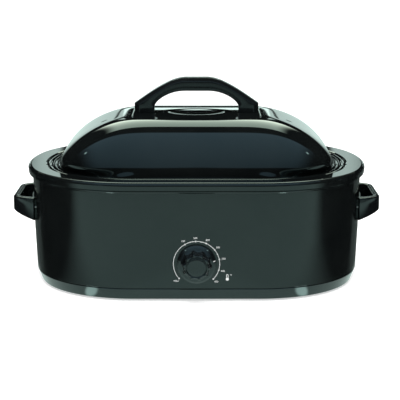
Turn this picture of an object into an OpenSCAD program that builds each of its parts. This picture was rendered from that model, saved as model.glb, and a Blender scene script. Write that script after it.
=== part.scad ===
// Electric roaster oven: a wrapped steel body with a heating well, a lift-out roasting pan and
// rack, a high domed lid with an arched handle, two side handles and a front heat control.
// Front faces -Y, +X is to the right, the feet stand on z = 0, and the origin lies under the middle.

/* [Outline of the rim] */
// Length of the rim, end to end
rim_length = 572; // [545:1:605]
// Radius of the four corners of the rim
corner_r = 180; // [165:1:190]
// Radius of the two bowed ends of the rim
end_r = 305; // [280:5:340]

/* [Heights] */
// Height that the rubber feet hold the base off the table
foot_height = 3; // [2:0.5:6]
// Height of the base band
base_height = 17.8; // [14:0.2:24]
// Height of the painted wrap, from the base to the bead
wrap_height = 156; // [140:1:175]
// Height of the rolled bead at the top of the wrap
bead_height = 7; // [5:0.5:9]
// Height of the rim's rounded lip
rim_height = 11.7; // [10:0.1:14]
// Height of the lid's dome above its foot
dome_height = 84.5; // [70:0.5:100]

/* [Body] */
// Thickness of the wrap's steel
wrap_sheet = 1.2; // [0.8:0.1:1.6]
// How far the wrap stands inside the rim at its foot
wrap_inset_foot = 12.2; // [10:0.1:15]
// How far it stands inside the rim at mid height
wrap_inset_mid = 9.2; // [8:0.1:11]
// How far it stands inside the rim under the bead
wrap_inset_top = 7.6; // [6:0.1:10]
// How far the base band tapers inwards to its bottom edge
base_taper = 6.2; // [2:0.1:9]
// Wall of the base band
base_wall = 2.4; // [1.8:0.1:3.2]
// Thickness of the bottom plate and the reflector
plate_sheet = 1.2; // [0.8:0.1:2]
// Diameter of the rubber feet
foot_d = 22; // [16:1:30]

/* [Heating well] */
// Thickness of the well's steel
well_sheet = 1.2; // [0.8:0.1:1.6]
// Width of the flat rim around the well
flange_width = 32; // [28:0.5:36]
// Depth of the ledge that the pan hangs on, below the rim
ledge_drop = 7.5; // [6:0.5:9]
// Width of the ledge
ledge_width = 21; // [20:0.5:24]
// Draft of the well's wall from top to bottom
well_draft = 8.5; // [5:0.5:12]
// Height of the well's floor above the table
well_floor = 33; // [28:1:45]
// Radius between the well's wall and floor
well_fillet = 14; // [8:1:20]
// Height of the heater band
heater_height = 46; // [30:1:60]
// Thickness of the heater band
heater_t = 2.4; // [1.5:0.1:4]
// Thickness of the insulation blanket
blanket_t = 12; // [8:1:16]

/* [Pan] */
// Thickness of the pan's steel
pan_sheet = 1.2; // [0.8:0.1:1.6]
// Radius of the roll around the pan's edge
pan_roll_r = 3.6; // [3:0.1:4]
// Clearance between the well's wall and the pan
pan_clear = 1.5; // [1:0.1:3]
// Clearance between the well's floor and the pan
pan_lift = 5; // [3:0.5:10]

/* [Rack] */
// Diameter of the rack's frame wire
frame_wire = 5; // [4:0.5:6]
// Diameter of the rack's cross wires
cross_wire = 3; // [2.5:0.5:4]
// Number of cross wires
cross_count = 13; // [9:2:17]
// Height of the rack above the pan's floor
rack_height = 14; // [10:1:25]
// Height of the lifting bails above the rack
bail_height = 88; // [60:1:100]

/* [Lid] */
// Thickness of the lid's steel
lid_sheet = 1.2; // [0.9:0.1:1.6]
// Radius of the roll around the lid's edge
lid_roll_r = 3; // [2.5:0.1:3.2]
// How far the lid's crown runs on beyond the handle's feet, to each end
crown_end = 3; // [2:0.5:20]
// Half depth of the lid's crown
crown_y = 89; // [80:1:100]
// Roundness of the dome's slope at its ends: 1 is a straight slope, 2 is an ellipse
slope_end = 1.7; // [1.4:0.01:2.2]
// Roundness of its slope at the front and back
slope_front = 1.6; // [1.4:0.01:2.2]
// Rise of the crown to the flat under the handle
crown_rise = 1.5; // [1:0.1:4]
// Half length of the oval finger recess under the handle
recess_x = 50; // [36:1:56]
// Half depth of the finger recess
recess_y = 41; // [25:1:48]
// Depth of the finger recess
recess_depth = 2.5; // [1.5:0.1:4]
// Length of each vent slot in the lid
vent_length = 11; // [8:1:20]
// Width of each vent slot
vent_width = 4; // [3:0.5:6]

/* [Lid handle] */
// Length of the lid handle over its feet
handle_length = 210; // [190:1:230]
// Height of the lid handle
handle_height = 58.5; // [50:0.5:70]
// Thickness of the arch at its middle
handle_thick = 21.9; // [16:0.1:24]
// Depth of the handle, front to back
handle_depth = 34; // [28:1:40]
// Length of each foot of the handle
handle_foot = 34; // [26:1:38]
// Radius of the handle's outer edges at its feet
handle_edge_foot = 9.5; // [6:0.5:12]
// Radius of the handle's outer edges at its middle
handle_edge_top = 5; // [3:0.5:8]
// Diameter of the screws that hold the handle
handle_screw_d = 5; // [4:0.5:6]

/* [Side handles] */
// How far the side handles reach beyond the rim
side_reach = 23; // [18:0.5:30]
// Height of the top of the side handles
side_top = 143.5; // [120:0.5:150]
// Length of the straight grip
side_grip = 84; // [60:1:100]
// Distance between the middles of the arms where they meet the body
side_span = 142; // [132:1:150]
// Thickness of the grip seen from above
side_wall = 10; // [9:0.5:13]
// Thickness of the arms at the body
side_root_wall = 14; // [11:0.5:26]
// Height of the grip
side_grip_h = 25; // [18:1:28]
// Height of the arms at the body
side_root_h = 38; // [30:1:40]
// Diameter of the side handle screws
side_screw_d = 4; // [3:0.5:5]

/* [Heat control] */
// Height of the knob's axis above the table
knob_z = 63; // [58:1:70]
// Diameter of the knob's skirt
knob_skirt_d = 62.8; // [55:0.1:70]
// How far the knob stands out from the wrap
knob_out = 26; // [20:0.5:30]
// Diameter of the fluted grip at its foot
knob_grip_d = 49; // [42:0.5:52]
// Diameter of the flat disc on the knob's face
knob_disc_d = 29; // [24:0.5:32]
// Number of finger flutes
flute_count = 10; // [8:1:12]
// Diameter of the control shaft
shaft_d = 6; // [5:0.5:7]
// Angle of the pointer above horizontal, at rest
pointer_angle = 12; // [0:1:30]

/* [Cord inlet] */
// Diameter of the bore that the supply cord passes
inlet_bore_d = 7.5; // [6:0.1:9]
// Height of the inlet above the table
inlet_z = 52; // [45:1:70]

/* [Fits] */
// Gap between a piece that rests and its seat
seat_gap = 0.3; // [0.2:0.05:0.5]
// Radial clearance of the control shaft in its bush
run_gap = 0.05; // [0.03:0.01:0.08]
// Radial clearance of a screw in its hole
screw_gap = 0.3; // [0.2:0.05:0.5]

/* [Hidden] */
$fn = 96;

enamel = "#20282a";
moulded = "#14181a";
steel = "#a9adb0";
zinc = "#8d9396";
rubber = "#2b2b2b";
brass = "#b89a55";
ceramic = "#d8d2c4";
glass_wool = "#e6dfc8";
pan_enamel = "#26292c";

// Rim outline: a straight front and back, four corner arcs and two end arcs, all tangent.
// The arcs meet where the outline leans by a 7-24-25 triangle, so every joint is a round number.
lean_sin = 0.28;
lean_cos = 0.96;
half_l = rim_length / 2;
end_x = half_l - end_r;
corner_x = end_x + (end_r - corner_r) * lean_cos;
corner_y = (end_r - corner_r) * lean_sin;
half_d = corner_y + corner_r;
end_angle = asin(lean_sin);

// Heights of the main edges
base_bottom = foot_height;
base_top = base_bottom + base_height;
wrap_top = base_top + wrap_height;
bead_top = wrap_top + bead_height;
rim_top = bead_top + rim_height;
wrap_mid = base_top + wrap_height * 0.43;
seam = 0.4;
wrap_bottom = base_top + seam;
wrap_curl = 0.8;
tongue_h = 7;

// Rim lip, ledge and walls of the well and the pan
lip_r = rim_height / 2;
lip_drop = 7.4;
lip_curl = 0.9;
ledge_z = rim_top - ledge_drop;
step_inset = flange_width + 0.3;
well_top_inset = flange_width + ledge_width;
pan_gap = pan_clear + pan_sheet;
pan_floor = well_floor + pan_lift + pan_sheet;
pan_shelf = ledge_z + seat_gap + pan_sheet;
pan_fillet = well_fillet - 2;
pan_roll_inset = step_inset + 0.8 + pan_roll_r;
pan_roll_z = rim_top - 1.2 - pan_roll_r;

// Lid: the roll lies inside the pan's roll, then a ridge, then the dome's foot
lid_roll_inset = pan_roll_inset + pan_roll_r + 0.8 + lid_roll_r;
lid_roll_z = pan_shelf + seat_gap + 1.3;
ridge_inset = lid_roll_inset + 6.9;
dome_inset = lid_roll_inset + 10.9;
foot_z = pan_shelf + 3.5;
crown_z = foot_z + dome_height;
deck_z = crown_z + crown_rise;
foot_x = half_l - dome_inset;
foot_y = half_d - dome_inset;
foot_square = 3.85;
hip_square = 5.85;
crown_square = 7.4;
hip_pace = 2.85;
deck_x = handle_length / 2 + 1;
deck_y = 60;
crown_x = handle_length / 2 + crown_end;

// Floor of the base and what stands on it
lip_rise = 4;
lip_width = 15;
lip_top = base_bottom + lip_rise;
lip_inset = wrap_inset_foot + base_taper + base_wall;
plate_top = lip_top + plate_sheet;
plate_inset = lip_inset + 1;
stud_x = 150;
stud_y = 75;
stud_r = 2;
stud_end = 3.4;
nut_h = 3;
foot_stem = foot_d * 0.15;
foot_barb = 4;
foot_place = [185, 108];
reflector_drop = 12;
reflector_z = well_floor - reflector_drop;

// Cooling slots in the bottom plate, in two rows
slot_count = 9;
slot_pitch = 25;
slot_size = [6, 44];
slot_row = 55;

// Heater band, the two straps that hold it and the blanket around them
heater_low = well_floor + well_fillet + 8;
heater_high = heater_low + heater_height;
strap_off = seat_gap + heater_t + seat_gap;
strap_t = 0.8;
strap_width = 12;
strap_edge = 5;
blanket_below = 6;
blanket_above = 40;

// Side handles: an arm leaves the wrap at a splay from straight out and bends into the grip
side_angle = 13.5;
side_screw_drop = 16;
side_screw_z = side_top - side_screw_drop;
side_out = half_l + side_reach;
side_root_in = 16;
side_splay = 18;
side_aim = 24;
side_turn = 14;
side_steps = 6;
side_screw_bite = 7;
side_boss_r = 6;
washer_t = 1;

// Lid handle and vents
handle_screw_x = (handle_length - handle_foot) / 2;
handle_screw_bite = 13;
vent_place = [155, 58];
dome_steps = 8;
dome_shares = [for (i = [0 : dome_steps]) sin(90 * i / dome_steps)];

// Rack: the frame clears the pan's wall, and the legs stand inside the pan's fillet
rack_z = pan_floor + rack_height;
rack_inset = well_top_inset + well_draft + pan_gap + 7;
cross_pitch = 30;
leg_r = 2;
leg_x = 4 * cross_pitch;
bail_y = 55;
bail_r = 12;

// Front and back faces of the wrap at the control and at the inlet
function wrap_inset(z) =
    z < wrap_mid
        ? wrap_inset_foot + (wrap_inset_mid - wrap_inset_foot) * (z - wrap_bottom)
            / (wrap_mid - wrap_bottom)
        : wrap_inset_mid + (wrap_inset_top - wrap_inset_mid) * (z - wrap_mid)
            / (wrap_top - wrap_mid);

wrap_slope = (wrap_inset_foot - wrap_inset_mid) / (wrap_mid - wrap_bottom);
front_face = half_d - wrap_inset(knob_z);
back_face = half_d - wrap_inset(inlet_z);
inlet_x = 80;
shaft_r = shaft_d / 2;
bush_r = shaft_r + 1.5;
bush_out = 3.8;
bush_nut_r = bush_r + 3.6;
knob_gap = 1.6;
hub_low = 5;
hub_high = knob_out - 3;

// The thermostat and its bracket hang behind the wrap by the nut on the bush
bracket_t = 1.5;
bracket_half = 30;
bracket_low = 24;
bracket_high = 22;
bracket_shelf = 14;
bracket_back = -wrap_sheet - seat_gap - bracket_low * wrap_slope - bracket_t;
thermo_size = [38, 34, 22];
tab_size = [6, 8, 0.8];
tab_x = 12;
shaft_back = bracket_back - thermo_size[2] + 4;

// Cord inlet and the block inside it
gland_r = inlet_bore_d / 2 + 2.5;
gland_flange = 4;
gland_depth = 12;
gland_seat = seat_gap + (gland_r + gland_flange) * wrap_slope;
block_size = [44, 15, 16];
block_off = 90;
block_gap = 6;
block_bore_r = 2.6;

// The knob stands out further than the rim, so the rim's centre lies behind the middle of the whole
middle_y = (front_face + knob_out - half_d) / 2;

// Moves a child from the rim's centre to the middle of the whole object
module in_frame()
{
    translate([0, middle_y, 0])
        children();
}

// Inner faces of the walls of the well and the pan at a height
function well_wall(z) = well_top_inset + well_draft * (ledge_z - z) / (ledge_z - well_floor);
function pan_wall(z) = well_wall(z) + pan_gap;

// Points of an arc in the section plane
function arc(x, y, r, from, to, steps) =
    [for (i = [0 : steps]) let (t = from + (to - from) * i / steps) [x + r * cos(t), y + r * sin(t)]];

function unit(v) = v / norm(v);
function left_of(v) = [-v[1], v[0]];

// A sheet of thickness t on the left of a bent line, with mitred bends
function sheet(path, t) =
    let (n = len(path))
    concat(path, [for (i = [n - 1 : -1 : 0])
        let (before = unit(path[max(i, 1)] - path[max(i, 1) - 1]),
             after = unit(path[min(i, n - 2) + 1] - path[min(i, n - 2)]),
             m = unit(left_of(before) + left_of(after)))
        path[i] + m * t / max(0.5, m * left_of(before))]);

// Carries a section round the outline: x is the distance outwards from the rim, y is the height
module around()
{
    reach = 2 * end_r;
    for (sx = [0, 1])
        mirror([sx, 0, 0])
            for (sy = [0, 1])
                mirror([0, sy, 0])
                    translate([corner_x, corner_y, 0])
                        intersection() {
                            rotate_extrude()
                                translate([corner_r, 0])
                                    children();
                            linear_extrude(reach)
                                polygon([[0, 0], reach * [lean_cos, lean_sin], [reach, reach],
                                         [0, reach]]);
                        }
    for (sx = [0, 1])
        mirror([sx, 0, 0])
            translate([end_x, 0, 0])
                intersection() {
                    rotate_extrude()
                        translate([end_r, 0])
                            children();
                    linear_extrude(reach)
                        polygon([[0, 0], reach * [lean_cos, -lean_sin],
                                 reach * [lean_cos, lean_sin]]);
                }
    for (sy = [0, 1])
        mirror([0, sy, 0])
            translate([-corner_x, half_d, 0])
                rotate([90, 0, 90])
                    linear_extrude(2 * corner_x)
                        children();
}

// Points of the outline, moved inwards by an inset, as a coarse loop that fills a ring
function loop_quarter(inset) = concat(
    [for (t = [0 : 1]) [end_x + (end_r - inset) * cos(end_angle * t),
                        (end_r - inset) * sin(end_angle * t)]],
    [for (i = [1 : 6]) let (t = end_angle + (90 - end_angle) * i / 6)
        [corner_x + (corner_r - inset) * cos(t), corner_y + (corner_r - inset) * sin(t)]]);

function mirrored(q, sx, sy) = [for (p = q) [p[0] * sx, p[1] * sy]];
function reversed(q) = [for (i = [len(q) - 1 : -1 : 0]) q[i]];

module loop_fill(inset)
{
    q = loop_quarter(inset);
    polygon(concat(q, reversed(mirrored(q, -1, 1)), mirrored(q, -1, -1),
                   reversed(mirrored(q, 1, -1))));
}

// A flat plate that follows the outline
module outline_plate(inset, z, t, band = 40)
{
    around()
        translate([-inset - band, z])
            square([band, t]);
    translate([0, 0, z])
        linear_extrude(t)
            loop_fill(inset + band / 2);
}

// Half depth of the outline at a place along it, for an inset
function depth_at(x, inset) =
    x < corner_x ? half_d - inset
                 : corner_y + sqrt(pow(corner_r - inset, 2) - pow(x - corner_x, 2));

// Triangles of a skin through rings that all have n points, closed by a flat face at each end
function skin_faces(count, n) = concat(
    [[for (i = [0 : n - 1]) i]],
    [for (j = [0 : count - 2], i = [0 : n - 1]) [j * n + i, (j + 1) * n + i,
                                                (j + 1) * n + (i + 1) % n]],
    [for (j = [0 : count - 2], i = [0 : n - 1]) [j * n + i, (j + 1) * n + (i + 1) % n,
                                                j * n + (i + 1) % n]],
    [[for (i = [n - 1 : -1 : 0]) (count - 1) * n + i]]);

module skin(rings)
{
    polyhedron([for (r = rings, p = r) p], skin_faces(len(rings), len(rings[0])), convexity = 6);
}

// Rounded rectangle section: w across, h high, c1 on the lower and c2 on the upper edges
function rounded_section(w, h, c1, c2) = [
    [w, -h + c1], [w, h - c2], [w - c2 * 0.3, h - c2 * 0.3], [w - c2, h], [-w + c2, h],
    [-w + c2 * 0.3, h - c2 * 0.3], [-w, h - c2], [-w, -h + c1], [-w + c1 * 0.3, -h + c1 * 0.3],
    [-w + c1, -h], [w - c1, -h], [w - c1 * 0.3, -h + c1 * 0.3]];

function bezier(a, b, c, d, t) =
    a * pow(1 - t, 3) + b * 3 * t * pow(1 - t, 2) + c * 3 * t * t * (1 - t) + d * pow(t, 3);
function bezier_slope(a, b, c, d, t) =
    (b - a) * pow(1 - t, 2) + (c - b) * 2 * t * (1 - t) + (d - c) * t * t;
function smooth(t) = let (c = max(0, min(1, t))) c * c * (3 - 2 * c);

// ---- body ----

module base_ring()
{
    outer_foot = wrap_inset_foot + base_taper;
    tongue = wrap_inset_foot + wrap_curl + wrap_sheet + seat_gap;
    color(moulded)
    in_frame()
    around()
        polygon([[-outer_foot - 0.8, base_bottom], [-outer_foot, base_bottom + 0.8],
                 [-wrap_inset_foot, base_top - 0.6], [-wrap_inset_foot - 0.6, base_top],
                 [-tongue, base_top], [-tongue, base_top + tongue_h],
                 [-tongue - 1.8, base_top + tongue_h], [-tongue - 1.8, base_top - 3],
                 [-lip_inset, lip_top],
                 [-lip_inset - lip_width, lip_top], [-lip_inset - lip_width, lip_top - base_wall],
                 [-lip_inset - 1, lip_top - base_wall], [-outer_foot - base_wall, base_bottom]]);
}

module body_wrap()
{
    bead_r = bead_height / 2;
    bead_x = -wrap_inset_top - 0.9;
    color(enamel)
    in_frame()
    difference() {
        around()
            polygon(sheet(concat(
                [[-wrap_inset_foot - wrap_curl, wrap_bottom],
                 [-wrap_inset_foot, wrap_bottom + 1.2],
                 [-wrap_inset_mid, wrap_mid]],
                arc(bead_x, bead_top - bead_r, bead_r, -75, 90, 7),
                [[-wrap_inset_top - 11, bead_top]]), wrap_sheet));
        at_front()
            translate([0, 0, -20])
                cylinder(r = bush_r + screw_gap, h = 40);
        at_inlet()
            translate([0, 0, -20])
                cylinder(r = gland_r + screw_gap, h = 40);
        for (side = [0, 1])
            mirror([side, 0, 0])
                at_side_screws()
                    translate([0, 0, -10])
                        cylinder(d = side_screw_d + 2 * screw_gap, h = 20);
    }
}

module well_liner()
{
    bottom = well_wall(well_floor + well_fillet);
    path = concat(
        [[-lip_curl, rim_top - lip_r - lip_drop]],
        arc(-lip_r, rim_top - lip_r, lip_r, 0, 90, 6),
        [[-flange_width + 2, rim_top - 0.4], [-flange_width + 0.4, rim_top - 1.2],
         [-step_inset, rim_top - 2.8], [-step_inset - 0.1, ledge_z + 1.4],
         [-step_inset - 1.4, ledge_z], [-well_top_inset + 2.6, ledge_z],
         [-well_top_inset + 0.8, ledge_z - 0.8], [-well_wall(ledge_z - 3), ledge_z - 3]],
        arc(-bottom - well_fillet, well_floor + well_fillet, well_fillet, 0, -90, 6),
        [[-bottom - well_fillet - 20, well_floor]]);
    color(pan_enamel)
    in_frame()
    union() {
        around()
            polygon(sheet(path, well_sheet));
        translate([0, 0, well_floor - well_sheet])
            linear_extrude(well_sheet)
                loop_fill(bottom + well_fillet + 10);
    }
}

module bottom_plate()
{
    color(zinc)
    in_frame()
    difference() {
        outline_plate(plate_inset, lip_top, plate_sheet);
        for (sx = [-1, 1], sy = [-1, 1]) {
            translate([sx * stud_x, sy * stud_y, 0])
                cylinder(r = stud_r + screw_gap, h = 2 * lip_top + plate_top);
            translate([sx * foot_place[0], sy * foot_place[1], 0])
                cylinder(r = foot_stem + screw_gap, h = 2 * lip_top + plate_top);
        }
        for (i = [0 : slot_count - 1], side = [-1, 1])
            translate([(i - (slot_count - 1) / 2) * slot_pitch, side * slot_row, lip_top - 1])
                linear_extrude(plate_sheet + 2)
                    square(slot_size, center = true);
    }
}

module rubber_feet()
{
    color(rubber)
    in_frame()
    for (sx = [-1, 1], sy = [-1, 1])
        translate([sx * foot_place[0], sy * foot_place[1], 0])
            rotate_extrude()
                polygon([[0, 0], [foot_d / 2 - 1, 0], [foot_d / 2, 1],
                         [foot_d / 2 - 1, lip_top - 0.1], [foot_stem, lip_top - 0.1],
                         [foot_stem, plate_top + 0.2], [foot_stem + 1.1, plate_top + 0.2],
                         [foot_stem - 0.4, plate_top + foot_barb], [0, plate_top + foot_barb]]);
}

module tie_studs()
{
    color(zinc)
    in_frame()
    for (sx = [-1, 1], sy = [-1, 1])
        translate([sx * stud_x, sy * stud_y, 0]) {
            translate([0, 0, lip_top - stud_end])
                cylinder(r = stud_r, h = well_floor - well_sheet - lip_top + stud_end);
            translate([0, 0, plate_top])
                cylinder(r = 2 * stud_r, h = reflector_z - plate_top);
        }
}

module stud_nuts()
{
    color(zinc)
    in_frame()
    for (sx = [-1, 1], sy = [-1, 1])
        translate([sx * stud_x, sy * stud_y, lip_top - nut_h - 0.1])
            difference() {
                cylinder(r = 2 * stud_r, h = nut_h, $fn = 6);
                translate([0, 0, -1])
                    cylinder(r = stud_r + run_gap, h = nut_h + 2);
            }
}

module reflector_plate()
{
    color(steel)
    in_frame()
    difference() {
        outline_plate(well_wall(well_floor) + 6, reflector_z, plate_sheet);
        for (sx = [-1, 1], sy = [-1, 1])
            translate([sx * stud_x, sy * stud_y, 0])
                cylinder(r = stud_r + screw_gap, h = 2 * reflector_z);
    }
}

// A band that lies round the outside of the well, a distance off its wall
module well_band(off, low, high, t)
{
    around()
        polygon(sheet([for (z = [high, low]) [off + well_sheet - well_wall(z), z]], t));
}

module heater_band()
{
    color(brass)
    in_frame()
    well_band(seat_gap, heater_low, heater_high, heater_t);
}

module heater_straps()
{
    color(steel)
    in_frame()
    for (z = [heater_low + strap_edge, heater_high - strap_edge - strap_width])
        well_band(strap_off, z, z + strap_width, strap_t);
}

module insulation_blanket()
{
    color(glass_wool)
    in_frame()
    well_band(strap_off + strap_t + seat_gap, heater_low - blanket_below,
              heater_high + blanket_above, blanket_t);
}

// ---- side handles ----

// Places a child on the end of the wrap with its own +Z pointing outwards
module at_side_screws()
{
    for (turn = [-side_angle, side_angle])
        translate([end_x, 0, side_screw_z])
            rotate([0, 0, turn])
                translate([end_r - wrap_inset(side_screw_z), 0, 0])
                    rotate([0, 90, 0])
                        children();
}

// One ring of the side handle: place in plan, direction of travel, thickness and height
function side_ring(place, along, w, h) =
    let (out = [unit(along)[1], -unit(along)[0], 0])
    [for (p = rounded_section(h / 2, w / 2, 3, 3))
        [place[0], place[1], side_top - h / 2] + [0, 0, p[0]] + out * p[1]];

module side_handle_right()
{
    grip_x = side_out - side_wall / 2;
    root = [half_l - side_root_in, -side_span / 2];
    aim = root + side_aim * [cos(side_splay), sin(side_splay)];
    grip = [grip_x, -side_grip / 2];
    turn = grip - [0, side_turn];
    half = [for (i = [0 : side_steps]) let (t = i / side_steps, thin = sin(90 * t))
        side_ring(bezier(root, aim, turn, grip, t), bezier_slope(root, aim, turn, grip, t),
                  side_root_wall + (side_wall - side_root_wall) * thin,
                  side_root_h + (side_grip_h - side_root_h) * thin)];
    other = [for (i = [side_steps : -1 : 0]) [for (p = half[i]) [p[0], -p[1], p[2]]]];
    root_r = end_r - wrap_inset(side_top) + seat_gap;
    low_r = end_r - wrap_inset(side_top - side_root_h) + seat_gap;
    plate_low = side_top - side_root_h + 3;
    color(moulded)
    in_frame()
    difference() {
        union() {
            skin(concat(half, other));
            translate([end_x, 0, 0])
                intersection() {
                    rotate_extrude()
                        polygon([[low_r - 1, plate_low], [low_r + 2, plate_low],
                                 [root_r + 2, side_top - 3], [root_r - 1, side_top - 3]]);
                    translate([end_r / 2, -side_span / 2, 0])
                        cube([end_r, side_span, rim_top]);
                }
            at_side_screws()
                cylinder(r = side_boss_r, h = side_screw_bite + 3);
        }
        translate([end_x, 0, 0])
            rotate_extrude()
                polygon([[0, side_top - side_root_h - 5], [low_r, side_top - side_root_h - 5],
                         [low_r, side_top - side_root_h], [root_r, side_top],
                         [root_r, side_top + 5], [0, side_top + 5]]);
        at_side_screws()
            cylinder(d = side_screw_d + 2 * run_gap, h = side_screw_bite + 1);
    }
}

module side_handle_left()
{
    mirror([1, 0, 0])
        side_handle_right();
}

module side_handle_screws()
{
    head = wrap_sheet + washer_t + 2 * seat_gap;
    color(zinc)
    in_frame()
    for (side = [0, 1])
        mirror([side, 0, 0])
            at_side_screws() {
                translate([0, 0, -head])
                    cylinder(d = side_screw_d, h = head + side_screw_bite);
                translate([0, 0, -head - 0.6 * side_screw_d])
                    cylinder(d = 2 * side_screw_d, h = 0.6 * side_screw_d);
            }
}

module side_handle_washers()
{
    color(steel)
    in_frame()
    for (side = [0, 1])
        mirror([side, 0, 0])
            at_side_screws()
                translate([0, 0, -wrap_sheet - washer_t - seat_gap])
                    difference() {
                        cylinder(d = 2 * side_screw_d + 2, h = washer_t);
                        translate([0, 0, -1])
                            cylinder(d = side_screw_d + 2 * run_gap, h = washer_t + 2);
                    }
}

// ---- heat control ----

// Places a child on the front of the wrap at the knob's axis, with its own +Z to the front
module at_front()
{
    translate([0, -front_face, knob_z])
        rotate([90, 0, 0])
            children();
}

module thermostat_bracket()
{
    color(zinc)
    in_frame()
    at_front()
        difference() {
            translate([-bracket_half, 0, 0])
                rotate([90, 0, 90])
                    linear_extrude(2 * bracket_half)
                        polygon([[-bracket_low, bracket_back - bracket_shelf],
                                 [bracket_t - bracket_low, bracket_back - bracket_shelf],
                                 [bracket_t - bracket_low, bracket_back],
                                 [bracket_high, bracket_back],
                                 [bracket_high, bracket_back + bracket_t],
                                 [-bracket_low, bracket_back + bracket_t]]);
            translate([0, 0, bracket_back - 1])
                cylinder(r = bush_r + screw_gap, h = bracket_t + 2);
        }
}

module thermostat_body()
{
    color(ceramic)
    in_frame()
    at_front()
        difference() {
            union() {
                translate([-thermo_size[0] / 2, -thermo_size[1] / 2,
                           bracket_back - 0.2 - thermo_size[2]])
                    cube(thermo_size);
                translate([0, 0, bracket_back - 4])
                    cylinder(r = bush_r, h = 4 - bracket_back + bush_out);
                for (x = [-tab_x, tab_x])
                    translate([x - tab_size[0] / 2, -thermo_size[1] / 2 - tab_size[1] + 2,
                               bracket_back - thermo_size[2] + 4])
                        cube(tab_size);
            }
            translate([0, 0, shaft_back])
                cylinder(r = shaft_r + run_gap, h = 40);
        }
}

module thermostat_nut()
{
    color(zinc)
    in_frame()
    at_front()
        translate([0, 0, seat_gap + bush_nut_r * wrap_slope])
            difference() {
                cylinder(r = bush_nut_r, h = nut_h, $fn = 6);
                translate([0, 0, -1])
                    cylinder(r = bush_r + run_gap, h = nut_h + 2);
            }
}

module control_shaft()
{
    color(steel)
    in_frame()
    at_front()
        difference() {
            translate([0, 0, shaft_back + 0.4])
                cylinder(r = shaft_r, h = hub_high - 2 - shaft_back - 0.4);
            translate([-shaft_r, shaft_r * 0.6, hub_low])
                cube([2 * shaft_r, shaft_r, hub_high]);
        }
}

module knob()
{
    skirt_r = knob_skirt_d / 2;
    grip_r = knob_grip_d / 2;
    top_r = grip_r - 3;
    disc_r = knob_disc_d / 2;
    flute_r = 4.6;
    color(moulded)
    in_frame()
    at_front()
        rotate([0, 0, pointer_angle])
            difference() {
                rotate_extrude()
                    polygon(concat(
                        [[0, hub_low], [7, hub_low], [7, hub_high - 4], [top_r - 4, hub_high - 4],
                         [grip_r - 3, 9], [skirt_r - 4, 5], [skirt_r - 2.5, knob_gap],
                         [skirt_r - 0.6, knob_gap], [skirt_r, knob_gap + 0.6],
                         [skirt_r, knob_gap + 3], [skirt_r - 1, knob_gap + 4.4],
                         [grip_r + 1.2, 9], [grip_r, 10.4]],
                        arc(top_r - 2.4, knob_out - 3.4, 2.4, 8, 90, 4),
                        [[disc_r + 2.4, knob_out - 1], [disc_r + 1.2, knob_out - 2],
                         [disc_r, knob_out - 2], [disc_r, knob_out - 0.5],
                         [disc_r - 0.6, knob_out], [0, knob_out]]));
                for (i = [0 : flute_count - 1])
                    rotate([0, 0, (i + 0.5) * 360 / flute_count])
                        translate([grip_r + 1.6, 0, 9.6])
                            rotate([0, -9, 0])
                                cylinder(r = flute_r, h = knob_out);
                difference() {
                    translate([0, 0, hub_low - 1])
                        cylinder(r = shaft_r + run_gap, h = hub_high - hub_low);
                    rotate([0, 0, -pointer_angle])
                        translate([-shaft_r, shaft_r * 0.6 + run_gap, hub_low - 2])
                            cube([2 * shaft_r, shaft_r, hub_high]);
                }
            }
}

module knob_spring()
{
    color(steel)
    in_frame()
    at_front()
        translate([0, 0, hub_low + 3])
            rotate([0, 0, 120])
                rotate_extrude(angle = 300)
                    translate([7 + seat_gap, 0])
                        square([1, 6]);
}

// ---- cord inlet ----

// Places a child on the back of the wrap at the inlet, with its own +Z to the back
module at_inlet()
{
    translate([inlet_x, back_face, inlet_z])
        rotate([-90, 0, 0])
            children();
}

module cord_gland()
{
    color(rubber)
    in_frame()
    at_inlet()
        difference() {
            rotate_extrude()
                polygon([[0, -gland_depth], [gland_r, -gland_depth], [gland_r, gland_seat],
                         [gland_r + gland_flange, gland_seat], [gland_r + gland_flange, 2.8],
                         [gland_r + gland_flange - 1.2, 4], [0, 4]]);
            translate([0, 0, -2 * gland_depth])
                cylinder(d = inlet_bore_d, h = 4 * gland_depth);
        }
}

module gland_nut()
{
    color(zinc)
    in_frame()
    at_inlet()
        translate([0, 0, -wrap_sheet - gland_seat - nut_h - 1])
            difference() {
                cylinder(r = gland_r + gland_flange, h = nut_h + 1, $fn = 6);
                translate([0, 0, -1])
                    cylinder(r = gland_r + run_gap, h = nut_h + 3);
            }
}

module terminal_block()
{
    color(ceramic)
    in_frame()
    translate([inlet_x - block_off, half_d - lip_inset - block_gap - block_size[1], plate_top])
        difference() {
            cube(block_size);
            for (pole = [-1 : 1])
                translate([block_size[0] * (0.5 + 0.32 * pole), block_size[1] / 2, 6])
                    cylinder(r = block_bore_r, h = block_size[2]);
        }
}

// ---- pan and rack ----

module pan()
{
    bottom = pan_wall(pan_floor + pan_fillet);
    top = pan_wall(pan_shelf - 3);
    path = concat(
        arc(-pan_roll_inset, pan_roll_z, pan_roll_r, -25, 165, 9),
        [[-pan_roll_inset - pan_roll_r - 0.6, pan_shelf + 0.5],
         [-pan_roll_inset - pan_roll_r - 1.8, pan_shelf], [-top + 2.6, pan_shelf],
         [-top + 0.8, pan_shelf - 0.8], [-top, pan_shelf - 3]],
        arc(-bottom - pan_fillet, pan_floor + pan_fillet, pan_fillet, 0, -90, 6),
        [[-bottom - pan_fillet - 20, pan_floor]]);
    color(pan_enamel)
    in_frame()
    union() {
        around()
            polygon(sheet(path, pan_sheet));
        translate([0, 0, pan_floor - pan_sheet])
            linear_extrude(pan_sheet)
                loop_fill(bottom + pan_fillet + 10);
    }
}

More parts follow.
